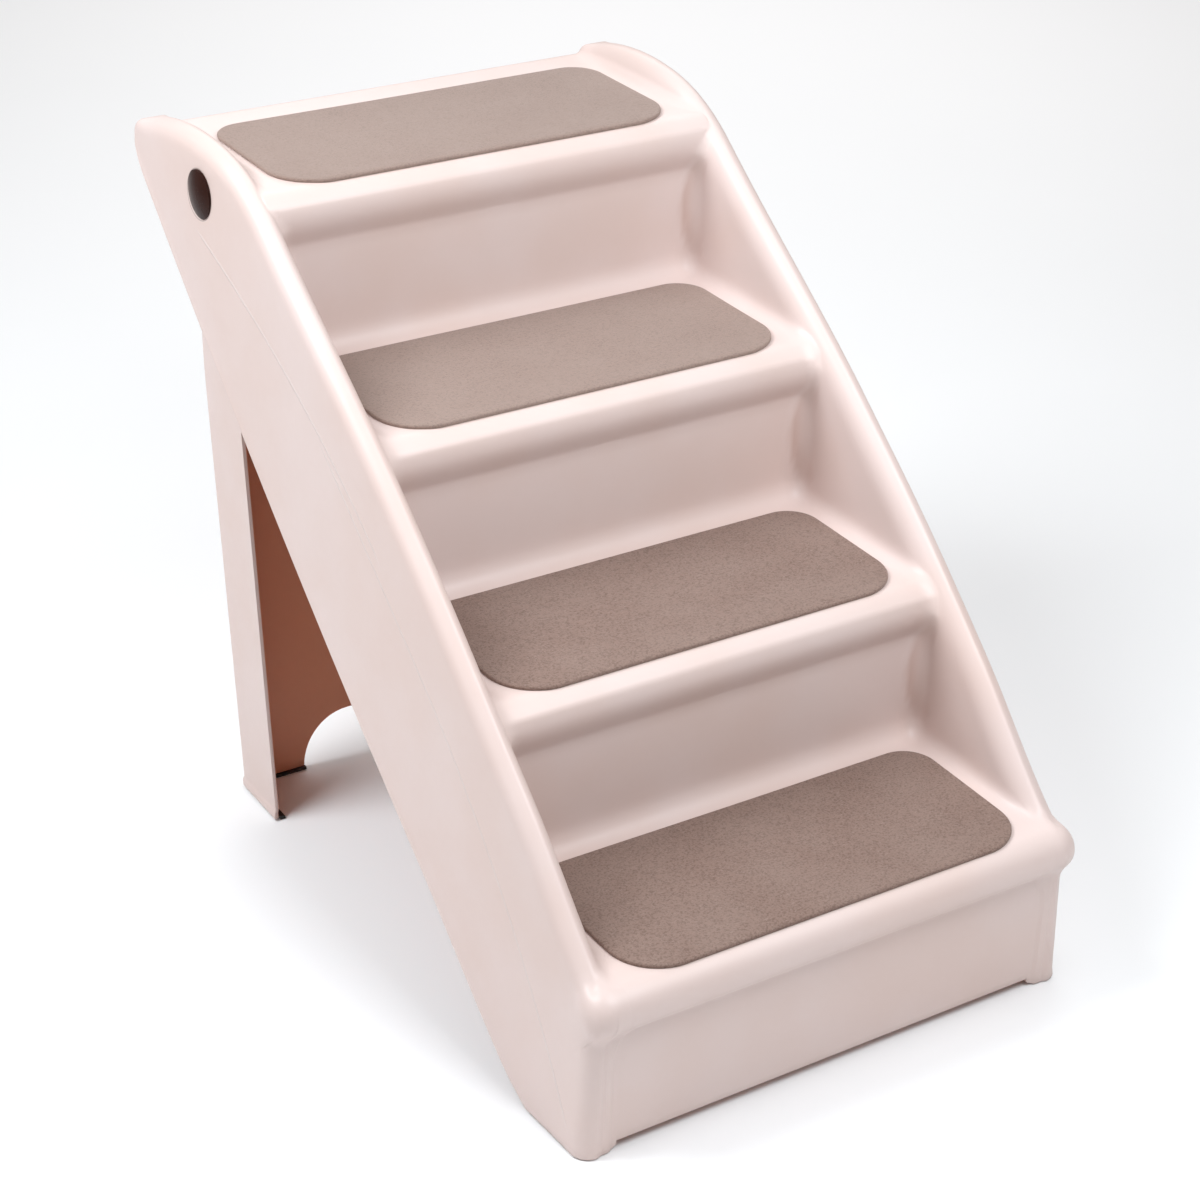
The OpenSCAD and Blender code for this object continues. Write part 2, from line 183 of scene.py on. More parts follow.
# wraps a value socket, so that a sum of sockets adds its own Math nodes
class Val:
    def __init__(self, finish, socket):
        self.finish, self.socket = finish, socket

    def __add__(self, other):
        return self.finish.math("ADD", self, other)

    def __radd__(self, other):
        return self.finish.math("ADD", other, self)

    def __sub__(self, other):
        return self.finish.math("SUBTRACT", self, other)

    def __rsub__(self, other):
        return self.finish.math("SUBTRACT", other, self)

    def __mul__(self, other):
        return self.finish.math("MULTIPLY", self, other)

    def __rmul__(self, other):
        return self.finish.math("MULTIPLY", other, self)

    def __truediv__(self, other):
        return self.finish.math("DIVIDE", self, other)

    def __pow__(self, other):
        return self.finish.math("POWER", self, other)

    def abs(self):
        return self.finish.math("ABSOLUTE", self, 0)

    def clip(self):
        return self.finish.math("MULTIPLY", self, 1, clamp=True)

    # 0 to 1 as the value goes from lo to hi, smoothly
    def ramp(self, lo, hi):
        return self.finish.node("ShaderNodeMapRange", {"interpolation_type": "SMOOTHSTEP", "clamp": True},
                                {"Value": self, "From Min": lo, "From Max": hi})


# a material and the node calls that fill it
class Finish:
    def __init__(self, name):
        self.material = bpy.data.materials.new(name)
        self.material.use_nodes = True
        self.tree = self.material.node_tree
        self.shader = self.tree.nodes["Principled BSDF"]

    def put(self, socket, value):
        if isinstance(value, Val):
            self.tree.links.new(value.socket, socket)
        else:
            socket.default_value = value

    # any node: its type, its settings, then the values or links of its sockets
    def node(self, kind, settings=None, inputs=None, out=0):
        made = self.tree.nodes.new(kind)
        for key, value in (settings or {}).items():
            setattr(made, key, value)
        for key, value in (inputs or {}).items():
            self.put(made.inputs[key], value)
        return Val(self, made.outputs[out])

    def math(self, operation, a, b=0.0, clamp=False):
        return self.node("ShaderNodeMath", {"operation": operation, "use_clamp": clamp}, {0: a, 1: b})

    # the factor's share of color b over color a; 6, 7 and 2 are the node's color sockets
    def mix(self, factor, a, b):
        color = lambda c: c if isinstance(c, Val) else (*c, 1)
        return self.node("ShaderNodeMix", {"data_type": "RGBA"},
                         {"Factor": factor, 6: color(a), 7: color(b)}, 2)

    def place(self):
        return self.node("ShaderNodeTexCoord", {}, {}, "Object")

    def axes(self):
        split = self.tree.nodes.new("ShaderNodeSeparateXYZ")
        self.put(split.inputs[0], self.place())
        return [Val(self, s) for s in split.outputs]

    def noise(self, scale, detail=3.0, roughness=0.55, where=None):
        return self.node("ShaderNodeTexNoise", {}, {"Vector": where or self.place(), "Scale": scale,
                                                    "Detail": detail, "Roughness": roughness})

    def attribute(self, name):
        return self.node("ShaderNodeAttribute", {"attribute_name": name}, {}, "Fac")

    def bump(self, height, distance, strength=1.0, after=None):
        links = {"Height": height, "Distance": distance, "Strength": strength}
        if after:
            links["Normal"] = after
        return self.node("ShaderNodeBump", {}, links)

    def finish(self, **sockets):
        for key, value in sockets.items():
            name = {"Color": "Base Color", "Specular": "Specular IOR Level", "SheenWeight": "Sheen Weight",
                    "SheenRoughness": "Sheen Roughness", "SheenTint": "Sheen Tint"}.get(key, key)
            if isinstance(value, tuple) and len(value) == 3:
                value = (*value, 1)
            self.put(self.shader.inputs[name], value)
        return self.material


plastic = {
    "light": (0.672, 0.548, 0.516), "shade": (0.640, 0.489, 0.438),
    # the next two colours are painted shade, with a painted warm glow, for the inner faces
    "inner": (0.66, 0.28, 0.165), "innerDark": (0.5676, 0.2408, 0.1419),
    # the next three colours: a painted highlight along the threads, painted shade in the riser creases, and
    # painted shade round the caps
    "thread": (0.76, 0.68, 0.66), "creaseShade": (0.40, 0.22, 0.165), "capGapShade": (0.16, 0.10, 0.09),
    "roughness": 0.42, "peelScale": 900.0, "peelDepth": 0.00002,
    "threadHalf": 1.3,    # mm, as the marks are; the other lengths here are in metres
    "threadDepth": 0.0005,
    "capGapShadeY": 0.2175, "capGapShadeZ": 0.4845, "capGapShadeRadius": 0.0184, "capGapShadeHalf": 0.0006,
}


# semi-gloss blush plastic: slow tone drift, fine moulding texture, faint rubbed patches.
# Inner faces are tinted warmer and darker, standing in for shade and for light that comes through the wall
def blushPlastic(name, bead=False):
    f = Finish(name)
    drift = f.noise(9.0, 2.0).ramp(0.35, 0.70)
    grain = f.noise(140.0, 4.0, 0.6)
    color = f.mix(drift * 0.5 + grain * 0.18, plastic["light"], plastic["shade"])
    rubbed = f.noise(26.0, 5.0, 0.7).ramp(0.50, 0.72)
    rough = plastic["roughness"] + (grain - 0.5) * 0.10 + rubbed * 0.07
    peel = f.noise(plastic["peelScale"], 2.0, 0.5)
    bumped = f.bump(peel, plastic["peelDepth"], 0.5)
    hidden = f.attribute("Hidden").ramp(0.1, 0.9)
    color = f.mix(hidden, color, f.mix(grain * 0.3, plastic["inner"], plastic["innerDark"]))
    if bead:
        # two raised threads on each side wall, with a painted highlight along them, and painted shade in the
        # creases, from the shell's own attributes
        height = None
        for part in ("upper", "lower"):
            thread = (1 - (f.attribute(part + "BeadGap").abs() / plastic["threadHalf"])).clip()
            thread = thread * thread * (3 - 2 * thread) * f.attribute(part + "BeadShow")
            height = thread if height is None else height + thread
        bumped = f.bump(height, plastic["threadDepth"], 0.8, bumped)
        # painted highlight: the threads are painted paler, standing in for the bright streak of light along
        # them
        color = f.mix(height * 0.5, color, plastic["thread"])
        # painted shade: the creases between risers and cheeks are painted darker
        color = f.mix(f.attribute("CreaseShade") * 0.46, color, plastic["creaseShade"])
        # painted shade: a dark ring round each cap, standing in for the shade in the gap between cap and
        # wall, on the side walls alone
        x, y, z = f.axes()
        ring = f.math("SQRT", (y - plastic["capGapShadeY"]) ** 2 + (z - plastic["capGapShadeZ"]) ** 2)
        capGapShade = (1 - ((ring - plastic["capGapShadeRadius"]).abs() / plastic["capGapShadeHalf"])).clip()
        color = f.mix(capGapShade * x.abs().ramp(0.188, 0.190) * 0.75, color, plastic["capGapShade"])
    return f.finish(Color=color, Roughness=rough, Normal=bumped, Specular=0.45)


felt = {"fibre": (0.225, 0.148, 0.121), "dark": (0.145, 0.090, 0.071), "pale": (0.40, 0.315, 0.275),
        "fibreScale": 620.0}


# short-fibre felt: dark and pale hairs laid in all directions over a soft nap
def taupeFelt(name):
    f = Finish(name)
    where = f.place()
    hairs = None
    for turn, stretch in ((0.3, 5.0), (1.5, 6.0), (2.5, 4.5)):
        turned = f.node("ShaderNodeMapping", {}, {"Vector": where, "Rotation": (0.0, 0.0, turn),
                                                  "Scale": (1.0, stretch, stretch)})
        hair = f.noise(felt["fibreScale"] / 2.2, 3.0, 0.65, turned)
        hairs = hair if hairs is None else f.math("MAXIMUM", hairs, hair)
    pale = hairs.ramp(0.60, 0.74)
    dark = f.noise(felt["fibreScale"], 4.0, 0.7).ramp(0.36, 0.56)
    cloud = f.noise(16.0, 4.0, 0.6).ramp(0.30, 0.72)
    color = f.mix(dark, felt["dark"], felt["fibre"])
    color = f.mix(pale * 0.42, color, felt["pale"])
    color = f.mix(cloud * 0.12, color, felt["pale"])
    # painted light: the two upper mats are painted paler, standing in for the stronger light and sheen on
    # them
    color = f.mix(f.axes()[2].ramp(0.27, 0.36) * 0.30, color, felt["pale"])
    nap = f.bump(hairs * 0.6 + dark * 0.4, 0.0005, 0.45)
    return f.finish(Color=color, Roughness=0.95, Normal=nap, Specular=0.2,
                    SheenWeight=0.30, SheenRoughness=0.45, SheenTint=(0.93, 0.84, 0.80))


# glossy dark cap plastic with a few hairline scuffs
def darkGloss(name):
    f = Finish(name)
    cloud = f.noise(60.0, 3.0)
    color = f.mix(cloud, (0.020, 0.006, 0.004), (0.038, 0.013, 0.009))
    scuff = f.noise(700.0, 2.0, 0.5).ramp(0.60, 0.75)
    return f.finish(Color=color, Roughness=0.24 + scuff * 0.10,
                    Normal=f.bump(cloud, 0.00008, 0.4), Specular=0.07)


def zincSteel(name):
    f = Finish(name)
    spangle = f.node("ShaderNodeTexVoronoi", {}, {"Vector": f.place(), "Scale": 420.0}, "Distance")
    color = f.mix(spangle, (0.62, 0.63, 0.64), (0.80, 0.81, 0.80))
    return f.finish(Color=color, Metallic=1.0, Roughness=0.30 + f.noise(300.0) * 0.2,
                    Normal=f.bump(f.noise(900.0), 0.00003, 0.5))


def mattRubber(name):
    f = Finish(name)
    dust = f.noise(220.0, 5.0, 0.7).ramp(0.45, 0.75)
    color = f.mix(dust * 0.5, (0.020, 0.018, 0.017), (0.075, 0.066, 0.060))
    return f.finish(Color=color, Roughness=0.82 + dust * 0.1, Normal=f.bump(f.noise(1500.0), 0.0001, 0.6))


shellPlastic = blushPlastic("shellPlastic", bead=True)
legPlastic = blushPlastic("legPlastic")
partPlastic = blushPlastic("partPlastic")
feltFinish = taupeFelt("feltFinish")
capFinish = darkGloss("capFinish")
steelFinish = zincSteel("steelFinish")
rubberFinish = mattRubber("rubberFinish")
print("scene: finishes made")


shell = {
    "run": 155.0, "rise": 124.0, "firstTread": 130.5, "steps": 4,
    "noseRadius": 17.0, "overhang": 10.0, "cove": 18.0, "underNose": 15.0, "underFirst": 8.0,
    "halfTread": 171.0, "spreadFront": 1.0, "spreadRear": 3.6, "treadEnd": 182.0,
    "panelRecess": 4.0, "panelGap": 7.0, "panelCorner": 26.0,
    "panelHalf": 177.0, "panelTop": 99.0, "panelProud": 2.0,
    "platformRear": 646.0, "platformEdge": 3.0, "lip": 18.0, "railRear": 648.0,
    "rimRise": 8.5, "rimBottom": 1.0,
    "railWidth": 22.0, "proud": 2.0, "frontDip": 9.0, "crestBow": 11.5, "rearCorner": 8.0,
    "innerShoulder": 13.0, "outerShoulder": 12.0, "rearSofter": 7.0, "cheekFillet": 11.0, "frontFillet": 6.5,
    "draft": 3.6, "sideDepth": 143.5, "bowRadius": 4950.0, "deepest": 235.0, "rimFlare": 0.9,
    "bendStart": 575.6, "bendRadius": 150.0, "bendAngle": 32.1, "crownRadius": 271.0,
    "footLength": 74.0, "heelSlope": 30.0, "heelDrop": 11.5,
    "postRadius": 13.0, "postFillet": 6.0, "postInset": 5.5, "postCheek": 3.0,
    "earReach": 5.5, "earStart": 176.0, "wall": 3.0, "creaseShadeIn": 10.5,
}
pitch = np.arctan2(shell["rise"], shell["run"])
up = np.array([-np.sin(pitch), np.cos(pitch)])
slope = np.array([np.cos(pitch), np.sin(pitch)])


def treadZ(k):
    return shell["firstTread"] + (k - 1) * shell["rise"]


def nose(k):
    return np.array([(k - 1) * shell["run"] + shell["noseRadius"], treadZ(k) - shell["noseRadius"]])


def riserY(k):
    return (k - 1) * shell["run"] + shell["overhang"] + (shell["panelRecess"] if k == 1 else 0)


# fillet between a nosing and the riser under it
def underNose(k):
    return shell["underFirst"] if k == 1 else shell["underNose"]


crestOff = shell["noseRadius"] + shell["proud"]
bendFrom = nose(1) + slope * shell["bendStart"] + up * crestOff
bendC = bendFrom - shell["bendRadius"] * up
crownAngle = np.pi / 2 + pitch - np.radians(shell["bendAngle"])
crownWay = np.array([np.cos(crownAngle), np.sin(crownAngle)])
crownC = bendC + (shell["bendRadius"] - shell["crownRadius"]) * crownWay
bowC = nose(1) + slope * shell["deepest"] + up * (crestOff - shell["sideDepth"] + shell["bowRadius"])
frontRound = nose(1) + np.array([0, shell["proud"] / slope[0]])
railFront = nose(1) + up * (shell["proud"] - shell["frontDip"])
draftTan = np.tan(np.radians(shell["draft"]))
draftGain = 1 / np.cos(np.radians(shell["draft"])) - 1
wallTop = shell["halfTread"] + shell["railWidth"] + shell["outerShoulder"] * draftGain


# how far the crest line bows up from a straight one: it starts low, is highest half way up, and
# comes back to the straight line before the bend
def crestBow(s):
    return (shell["crestBow"] * ease(s, 20, 300) * (1 - ease(s, 350, 590))
            - shell["frontDip"] * (1 - ease(s, 10, 140)))


# how far the cheeks and walls stand out from parallel ones
def spreadAt(y):
    return shell["spreadFront"] + (shell["spreadRear"] - shell["spreadFront"]) * ease(y, 20, 190)


# height above the crest: a straight line up the slope, an arc that bends it over, then a flatter crown
def crestHeight(y, z):
    s = (y - nose(1)[0]) * slope[0] + (z - nose(1)[1]) * slope[1]
    straight = (y - nose(1)[0]) * up[0] + (z - nose(1)[1]) * up[1] - crestOff - crestBow(s)
    bent = np.hypot(y - bendC[0], z - bendC[1]) - shell["bendRadius"]
    crown = np.hypot(y - crownC[0], z - crownC[1]) - shell["crownRadius"]
    pastStraight = (y - bendFrom[0]) * slope[0] + (z - bendFrom[1]) * slope[1]
    pastBend = (y - bendC[0]) * crownWay[1] - (z - bendC[1]) * crownWay[0]
    return np.where(pastBend > 0, crown, np.where(pastStraight > 0, bent, straight))


# outer face of the drafted side wall, a plane that spreads by the draft with depth under the crest,
# with a small flare close to the rim
def wallX(y, z):
    height = (y - nose(1)[0]) * up[0] + (z - nose(1)[1]) * up[1] - crestOff
    rimGap = np.minimum(shell["bowRadius"] - np.hypot(y - bowC[0], z - bowC[1]), z - shell["rimBottom"])
    flare = shell["rimFlare"] * (1 - ease(rimGap, 0.5, 5.0))
    return wallTop + spreadAt(y) + draftTan * (-height - shell["outerShoulder"]) + flare


# the flight of steps: for each step what lies behind its riser and under its tread,
# a round nosing with a fillet under it, and a cove to the step below
def stepField(x, y, z):
    plate = roundedRecess(x, z)
    total = None
    for k in range(1, shell["steps"] + 1):
        n, front = nose(k), riserY(k)
        if k == 1:
            front = front - plate
        roll = np.hypot(y - n[0], z - n[1]) - shell["noseRadius"]
        top = np.minimum(roll, np.maximum(n[0] - y, z - treadZ(k)))
        low = np.maximum(front - y, z - n[1])
        step = roundMin(top, low, underNose(k))
        total = step if total is None else roundMin(total, step, shell["cove"])
    return roundMax(total, y - shell["platformRear"], shell["platformEdge"])


# how far the front stands proud of the recessed panel: 0 inside a rectangle with round corners,
# panelProud outside it
def roundedRecess(x, z):
    gap = roundMax(np.abs(x) - shell["panelHalf"], z - shell["panelTop"], shell["panelCorner"])
    return shell["panelProud"] * ease(gap, -1.5, 1.5)


# side outline of a rail: crest line, round front end, post below it, arc over the platform, rear corner
def railOutline(y, z):
    h = crestHeight(y, z)
    s = (y - railFront[0]) * slope[0] + (z - railFront[1]) * slope[1]
    front = np.hypot(y - railFront[0], z - railFront[1]) - shell["noseRadius"]
    top = np.minimum(front, np.maximum(h, -s))
    post = np.maximum(shell["overhang"] - y, z - railFront[1])
    return roundMax(roundMin(top, post, shell["postFillet"]), y - shell["railRear"], shell["rearCorner"])


# 1 half way up the corners between risers and cheeks, where the fillet is widest
def riserCorner(y, z):
    total = 0.0
    for k in (2, 3, 4):
        gap = (y - riserY(k)) / 16.0
        rising = ease(z, treadZ(k - 1) + 8, treadZ(k - 1) + 44)
        falling = 1 - ease(z, treadZ(k) - 70, treadZ(k) - 22)
        total = total + np.exp(-gap ** 2) * rising * falling
    return total


# the whole outer skin: steps joined to rails by a fillet that dies out at the nosings,
# and the first nosing run round the corner as an ear. low and front pick out the corner posts,
# which stand narrower and have a shoulder and fillet of their own
def shellField(x, y, z):
    steps = stepField(x, y, z)
    outline = railOutline(y, z)
    low = 1 - ease(z, 88.0, 112.0)
    front = 1 - ease(y, 14.0, 40.0)
    inner = shell["halfTread"] + spreadAt(y) + shell["postInset"] * low * front
    wall = x - wallX(y, z)
    sides = np.maximum(inner - x, wall)
    outside = ease(x, 176.0, 192.0)
    shoulder = shell["innerShoulder"] + (shell["outerShoulder"] - shell["innerShoulder"]) * outside
    shoulder = shoulder + (shell["postRadius"] - shoulder) * low * front
    shoulder = shoulder - shell["rearSofter"] * ease(y, 626.0, 645.0)
    rail = roundMax(sides, outline * (1 - 0.3 * (1 - outside) * (1 - low * front)), shoulder)
    least = 0.5 + (shell["frontFillet"] - 0.5) * (1 - ease(y, 15, 110))
    fillet = np.clip(-0.8 * outline, least, shell["cheekFillet"])
    fillet = fillet * (1 - low * front) + shell["postCheek"] * low * front
    fillet = fillet * (1 + 0.9 * riserCorner(y, z))
    total = roundMin(np.maximum(steps, x - shell["treadEnd"]), rail, fillet)
    # the ear is a capsule on the first nosing's axis
    reach = shell["halfTread"] + shell["railWidth"] + shell["earReach"] - shell["noseRadius"]
    over = x - np.clip(x, shell["earStart"], reach)
    ear = np.sqrt(over ** 2 + (y - nose(1)[0]) ** 2 + (z - nose(1)[1]) ** 2) - shell["noseRadius"]
    return roundMin(total, ear, 0.5 + 7.0 * ease(x, 185.0, 194.0))


# how the field changes along each axis, between points h to either side
def fieldChange(p, h):
    x, y, z = p[..., 0], p[..., 1], p[..., 2]
    return np.stack([shellField(x + h, y, z) - shellField(x - h, y, z),
                     shellField(x, y + h, z) - shellField(x, y - h, z),
                     shellField(x, y, z + h) - shellField(x, y, z - h)], -1)


# slides points along the field's slope until they lie on its zero surface; free says which axes may move
def settle(p, free, turns):
    h = 0.05
    for _ in range(turns):
        f = shellField(p[..., 0], p[..., 1], p[..., 2])
        g = fieldChange(p, h) / (2 * h) * free
        size = np.maximum((g ** 2).sum(-1), 0.04)
        p = p - (np.clip(f, -12, 12) / size)[..., None] * g
    return p


# path along the steps, from the front panel's lower edge to the rear lip's lower edge
def stepPath():
    parts = []
    for k in range(1, shell["steps"] + 1):
        n, y, r = nose(k), riserY(k), underNose(k)
        c = np.array([y - r, 0.0])
        dx = c[0] - n[0]
        reach = shell["noseRadius"] + r
        c[1] = n[1] - np.sqrt(reach ** 2 - dx ** 2)
        beta = np.degrees(np.arctan2(n[1] - c[1], -dx))
        z0 = shell["panelGap"] if k == 1 else treadZ(k - 1) + shell["cove"]
        parts.append(line((y, z0), (y, c[1]), 15 if k == 1 else 7))
        parts.append(arc(c, r, 0, beta, 4 if k == 1 else 6))
        parts.append(arc(n, shell["noseRadius"], 180 + beta, 90, 18))
        if k < shell["steps"]:
            yc = riserY(k + 1) - shell["cove"]
            parts.append(line((n[0], treadZ(k)), (yc, treadZ(k)), 13, 0.5))
            parts.append(arc((yc, treadZ(k) + shell["cove"]), shell["cove"], -90, 0, 9))
    e = shell["platformEdge"]
    parts.append(line((nose(4)[0], treadZ(4)), (shell["platformRear"] - e, treadZ(4)), 17, 0.6))
    parts.append(arc((shell["platformRear"] - e, treadZ(4) - e), e, 90, 0, 4))
    rear = shell["platformRear"]
    parts.append(line((rear, treadZ(4) - e), (rear, treadZ(4) - shell["lip"]), 5))
    return join(*parts)


# path along the rails' crest, from the floor up the post, and down the rear end
def crestPath():
    y, n = shell["overhang"], nose(1)
    c = np.array([y - shell["postFillet"], 0.0])
    dx = c[0] - n[0]
    c[1] = n[1] - np.sqrt((shell["noseRadius"] + shell["postFillet"]) ** 2 - dx ** 2)
    beta = np.degrees(np.arctan2(n[1] - c[1], -dx))
    upAngle = 90 + np.degrees(pitch)
    bendEnd = upAngle - shell["bendAngle"]
    r, q = shell["crownRadius"], shell["rearCorner"]
    cornerY = shell["railRear"] - q
    cornerZ = crownC[1] + np.sqrt((r - q) ** 2 - (cornerY - crownC[0]) ** 2)
    meet = np.degrees(np.arctan2(cornerZ - crownC[1], cornerY - crownC[0]))
    rimEnd = rimPath()[-1, 1]
    meetS = 13.7    # where the bowed line leaves the round front end
    meetAngle = upAngle - np.degrees(np.arcsin(meetS / shell["noseRadius"]))
    s = np.linspace(meetS, shell["bendStart"], 400)
    bowed = nose(1) + s[:, None] * slope + (crestOff + crestBow(s))[:, None] * up
    return join(line((y, shell["rimBottom"]), (y, c[1]), 60), arc(c, shell["postFillet"], 0, beta, 12),
                arc(n, shell["noseRadius"], 180 + beta, meetAngle, 50), bowed,
                arc(bendC, shell["bendRadius"], upAngle, bendEnd, 80), arc(crownC, r, bendEnd, meet, 160),
                arc((cornerY, cornerZ), q, meet, 0, 20),
                line((shell["railRear"], cornerZ), (shell["railRear"], rimEnd), 10))


# path along the lower rim, from the heel of the front foot up the bevel and the bow, its corners eased
def rimPath():
    a = np.tan(np.radians(shell["heelSlope"]))
    y = np.linspace(shell["footLength"], shell["railRear"], 1600)
    bow = bowC[1] - np.sqrt(shell["bowRadius"] ** 2 - (y - bowC[0]) ** 2)
    bow = bow - shell["heelDrop"] * (1 - ease(y, 80, 215))
    z = np.maximum(bow, shell["rimBottom"] + a * (y - shell["footLength"]))
    soft = np.convolve(np.pad(z, 20, mode="edge"), np.ones(41) / 41, "valid")
    z = np.where((y > 60) & (y < 640), soft, z)
    z = z + shell["rimRise"] * np.clip((y - 628) / 20, 0, 1) ** 2
    return np.c_[y, z]


# how far along a path the point lies that is closest to each of pts
def closest(path, pts):
    d = np.hypot(pts[:, None, 0] - path[None, :, 0], pts[:, None, 1] - path[None, :, 1])
    return lengths(path)[np.argmin(d, 1)]


# a row of points each, spread along dense rows so that they lie closer where the row bends.
# Shares of the way are averaged with the neighbour rows', so that the columns run smoothly
def spread(dense, count, spacing, closer):
    step = np.linalg.norm(dense[:, 1:] - dense[:, :-1], axis=-1)
    way = (dense[:, 1:] - dense[:, :-1]) / np.maximum(step, 1e-6)[..., None]
    turn = np.zeros_like(step)
    turn[:, 1:] = np.linalg.norm(way[:, 1:] - way[:, :-1], axis=-1)
    turn[:, :-1] = np.maximum(turn[:, :-1], turn[:, 1:])
    weight = step / spacing + closer * np.minimum(turn, 0.5)
    weight = np.cumsum(np.concatenate([np.zeros((len(dense), 1)), weight], 1), 1)
    weight = weight / weight[:, -1:]
    n = dense.shape[1]
    u = np.stack([np.interp(np.linspace(0, 1, count), row, np.arange(n)) for row in weight])
    for _ in range(4):
        u[1:-1] = (u[:-2] + 2 * u[1:-1] + u[2:]) / 4
    i = np.minimum(u.astype(int), n - 2)
    t = (u - i)[..., None]
    rows = np.arange(len(dense))[:, None]
    return dense[rows, i] * (1 - t) + dense[rows, i + 1] * t


# rows across the shell, one for each point p of the step path: along the tread to the cheek, up the
# cheek to the crest, over it, and down the wall to the rim. The rows start as straight pieces and
# settle on the field's surface
def shellGrid():
    p = stepPath()
    crest, rim = crestPath(), rimPath()
    n = len(p)
    s = closest(crest, p)
    s = s - 6.0 * np.exp(-np.maximum(s - 6.0, 0) / 14.0)
    s = np.maximum.accumulate(s)
    soft = np.convolve(np.pad(s, 3, mode="reflect", reflect_type="odd"), np.ones(7) / 7, "valid")
    least = 0.32 * np.diff(lengths(p))
    s = np.r_[0, np.cumsum(np.maximum(np.diff(soft), least))]
    s = (s - s[0]) / (s[-1] - s[0]) * lengths(crest)[-1]
    c = along(crest, s)
    marks = np.array([0, closest(crest, (nose(1) + shell["noseRadius"] * up)[None])[0],
                      closest(crest, bendFrom[None])[0], lengths(crest)[-1]])
    feet = np.array([0, closest(rim, (frontRound - (shell["sideDepth"] - 17) * up)[None])[0],
                     closest(rim, (bendFrom - shell["sideDepth"] * up)[None])[0], lengths(rim)[-1]])
    b = along(rim, np.interp(s, marks, feet))
    join3 = lambda x, y, z: np.stack(np.broadcast_arrays(x, y, z), -1).astype(float)
    py, pz, cy, cz = p[:, :1], p[:, 1:], c[:, :1], c[:, 1:]
    half = shell["halfTread"] + spreadAt(py)
    xa = np.r_[0, 24, 48, 72, 95, 114, 129, 140, 148, 154, 158]
    flat = join3(xa[None, :], py, pz)
    fromX = 158 + np.linspace(0, 1, 14)[None, :] * (half - 158)
    t = np.linspace(0, 1, 40)[None, 1:]
    outer = wallX(cy, cz)
    over = half + np.linspace(0, 1, 30)[None, 1:] * (outer - half)
    down = np.linspace(0, 1, 20)[None, 1:] * (18 / np.maximum(np.hypot(b[:, :1] - cy, b[:, 1:] - cz), 30))
    dy, dz = cy + down * (b[:, :1] - cy), cz + down * (b[:, 1:] - cz)
    dense = np.concatenate([join3(fromX, py, pz), join3(half, py + t * (cy - py), pz + t * (cz - pz)),
                            join3(over, cy, cz), np.stack([wallX(dy, dz), dy, dz], -1)], 1)
    index = np.arange(dense.shape[1])
    low = shell["panelGap"] + (shell["rimBottom"] - shell["panelGap"]) * ease(index, 46, 58)
    dense[0, :, 2] = np.where(index < 52 + 29, low, dense[0, :, 2])
    free = np.ones_like(dense)
    free[0, :, 2] = 0
    free[-1, :, 2] = 0
    dense = settle(dense, free, 14)
    middle = spread(dense, 36, 6.5, 5.0)
    # the rest of the wall, closer together near the rim
    q = middle[:, -1, 1:]
    size = np.hypot(*(b - q).T)[:, None]
    share = np.r_[np.linspace(0, 0.90, 10)[1:], 0.93, 0.955, 0.975, 0.99, 1.0]
    fromRim = np.minimum((1 - share) * 128, (1 - share) * size)
    t = 1 - fromRim / np.maximum(size, 1e-6)
    t[size[:, 0] < 1e-3] = 1
    wy, wz = q[:, :1] + t * (b[:, :1] - q[:, :1]), q[:, 1:] + t * (b[:, 1:] - q[:, 1:])
    wall = np.stack([wallX(wy, wz), wy, wz], -1)
    grid = np.concatenate([flat, middle[:, 1:], wall], 1)
    free = np.ones_like(grid)
    free[:, 0, 0] = 0
    free[0, :, 2] = 0
    free[-1, :, 2] = 0
    free[:, -1, 1:] = 0
    for turn in range(4):
        grid = settle(grid, free, 4)
        if turn < 3:
            mid = grid.copy()
            mid[1:-1, 1:-1] = 0.6 * grid[1:-1, 1:-1] + 0.1 * (grid[:-2, 1:-1] + grid[2:, 1:-1]
                                                              + grid[1:-1, :-2] + grid[1:-1, 2:])
            grid = mid
    return grid


# signed distance from points to a path, positive above it, and how far in from its ends they are
def beadGap(path, pts):
    best = np.full(len(pts), 1e9)
    sign = np.ones(len(pts))
    where = np.zeros(len(pts))
    run = lengths(path)
    for i in range(len(path) - 1):
        a, d = path[i], path[i + 1] - path[i]
        raw = ((pts - a) @ d) / (d @ d)
        t = np.clip(raw, 0, 1)
        off = pts - a - t[:, None] * d
        dist = np.hypot(*off.T)
        side = np.sign(d[0] * (pts[:, 1] - a[1]) - d[1] * (pts[:, 0] - a[0]))
        new = dist < best
        best = np.where(new, dist, best)
        sign = np.where(new, side, sign)
        where = np.where(new, run[i] + raw * np.hypot(*d), where)
    return best * sign, np.minimum(where, run[-1] - where)


# threads on the side walls. Each runs from one share of the slope to another. It keeps drop mm under the
# crest on one side of turn, and from there drops further, by flare times a power of the share of the
# way to flareEnd
bead = {
    "upper": {"start": 0.83, "end": 0.43, "drop": 29.5,
              "flare": 52.5, "turn": 0.45, "flareEnd": 0.83, "power": 1.8},
    "lower": {"start": 0.57, "end": -0.07, "drop": 39.0,
              "flare": 65.0, "turn": 0.32, "flareEnd": -0.07, "power": 1.9},
}
slopeLength = 760.0    # of the rail, along the slope


def beadPath(name):
    b = bead[name]
    s = np.linspace(b["start"], b["end"], 60)
    t = np.clip((s - b["turn"]) / (b["flareEnd"] - b["turn"]), 0, 1)
    drop = b["drop"] + b["flare"] * t ** b["power"]
    return nose(1) + slope * slopeLength * s[:, None] + up * (crestOff - drop)[:, None]


# unit normals of the field at points of the grid
def shellNormals(p):
    g = fieldChange(p, 0.25)
    g[:, 0, 0] = 0
    g[0, :, 2] = 0
    g[-1, :, 2] = 0
    return g / np.maximum(np.linalg.norm(g, axis=-1, keepdims=True), 1e-6)
